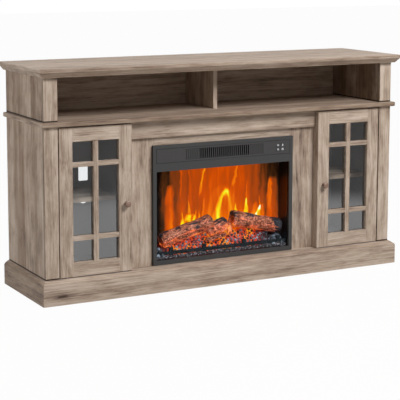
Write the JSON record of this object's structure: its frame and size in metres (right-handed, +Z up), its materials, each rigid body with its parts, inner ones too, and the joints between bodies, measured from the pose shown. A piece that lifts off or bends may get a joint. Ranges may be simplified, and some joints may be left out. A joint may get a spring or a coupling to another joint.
{
  "type": "fireplace tv stand",
  "caption": "Wood-look television stand with open bays over glazed doors and a central electric fire insert with logs, moulded crown and plinth.",
  "frame": {"origin": "on the floor under the middle of the overall box", "axes": "+X along the width, to the right seen from the front; -Y out of the front with the doors and the fire; +Z up"},
  "size_m": [1.473, 0.394, 0.813],
  "materials": {
    "oak_foil": "matt wood-grain foil",
    "back_board": "matt printed hardboard",
    "knob_wood": "satin turned wood",
    "door_glass": "clear float glass",
    "fire_glass": "clear toughened glass",
    "hinge_steel": "dark bronze",
    "trim_steel": "satin black powder coat",
    "strip_plastic": "fine-textured black",
    "key_plastic": "smooth black",
    "case_steel": "semi-gloss black",
    "flame_film": "frosted, lit from behind",
    "log_resin": "painted resin bark",
    "ember_resin": "translucent resin coals, lit from below",
    "grate_plastic": "dark cast look",
    "circuit": "green laminate",
    "sheet_aluminium": "bright",
    "motor_steel": "zinc-plated",
    "heater_ceramic": "unglazed"
  },
  "bodies": {
    "cabinet": {"top_slab": "oak_foil", "mid_shelf": "oak_foil", "lower_post_left": "oak_foil", "lower_post_right": "oak_foil", "upper_post_left": "oak_foil", "upper_post_right": "oak_foil", "lower_side_left": "oak_foil", "lower_side_right": "oak_foil", "upper_side_left": "oak_foil", "upper_side_right": "oak_foil", "bottom_board": "oak_foil", "partition_left": "oak_foil", "partition_right": "oak_foil", "adjustable_shelf_left": "oak_foil", "adjustable_shelf_right": "oak_foil", "bay_divider": "oak_foil", "back_sheet": "back_board", "plinth_front": "oak_foil", "plinth_left": "oak_foil", "plinth_right": "oak_foil", "frieze_board": "oak_foil", "surround_rail": "oak_foil", "surround_stile_left": "oak_foil", "surround_stile_right": "oak_foil", "left_post_leaf_lower": "hinge_steel", "left_post_leaf_upper": "hinge_steel", "right_post_leaf_lower": "hinge_steel", "right_post_leaf_upper": "hinge_steel", "insert_trim": "trim_steel", "insert_glass": "fire_glass", "control_strip": "strip_plastic", "key_board": "circuit", "insert_case": "case_steel", "ember_bed": "ember_resin", "log_set": "log_resin", "grate_bar": "grate_plastic", "flame_screen": "flame_film", "light_board": "circuit", "spindle_motor": "motor_steel", "fan_housing": "case_steel", "heating_element": "heater_ceramic", "heater_deck": "case_steel"},
    "left_door": {"left_door_frame": "oak_foil", "left_muntin_grid": "oak_foil", "left_door_glass": "door_glass", "left_knob": "knob_wood", "left_door_leaf_lower": "hinge_steel", "left_door_leaf_upper": "hinge_steel"},
    "right_door": {"right_door_frame": "oak_foil", "right_muntin_grid": "oak_foil", "right_door_glass": "door_glass", "right_knob": "knob_wood", "right_door_leaf_lower": "hinge_steel", "right_door_leaf_upper": "hinge_steel"},
    "blower_rotor": {"fan_rotor": "sheet_aluminium"},
    "light_spindle": {"flame_spindle": "sheet_aluminium"},
    "key_a": {"key_upper_left": "key_plastic"},
    "key_b": {"key_upper_right": "key_plastic"},
    "key_c": {"key_lower_left": "key_plastic"},
    "key_d": {"key_lower_right": "key_plastic"}
  },
  "joints": [
    {"name": "left_door_hinge", "type": "hinge", "parent": "cabinet", "child": "left_door", "pos_m": [-0.66175, -0.1673, 0.3485], "axis": [0, 0, -1], "range_deg": [0, 105]},
    {"name": "right_door_hinge", "type": "hinge", "parent": "cabinet", "child": "right_door", "pos_m": [0.66175, -0.1673, 0.3485], "axis": [0, 0, 1], "range_deg": [0, 105]},
    {"name": "blower_shaft", "type": "hinge", "parent": "cabinet", "child": "blower_rotor", "pos_m": [0, -0.057, 0.478], "axis": [1, 0, 0], "continuous": true},
    {"name": "spindle_shaft", "type": "hinge", "parent": "cabinet", "child": "light_spindle", "pos_m": [0, -0.019, 0.15], "axis": [1, 0, 0], "continuous": true},
    {"name": "key_a_press", "type": "slide", "parent": "cabinet", "child": "key_a", "axis": [0, 1, 0], "range_m": [0, 0.0006], "stiffness_N_per_m": 400, "springref_m": -0.0005},
    {"name": "key_b_press", "type": "slide", "parent": "cabinet", "child": "key_b", "axis": [0, 1, 0], "range_m": [0, 0.0006], "stiffness_N_per_m": 400, "springref_m": -0.0005},
    {"name": "key_c_press", "type": "slide", "parent": "cabinet", "child": "key_c", "axis": [0, 1, 0], "range_m": [0, 0.0006], "stiffness_N_per_m": 400, "springref_m": -0.0005},
    {"name": "key_d_press", "type": "slide", "parent": "cabinet", "child": "key_d", "axis": [0, 1, 0], "range_m": [0, 0.0006], "stiffness_N_per_m": 400, "springref_m": -0.0005}
  ]
}
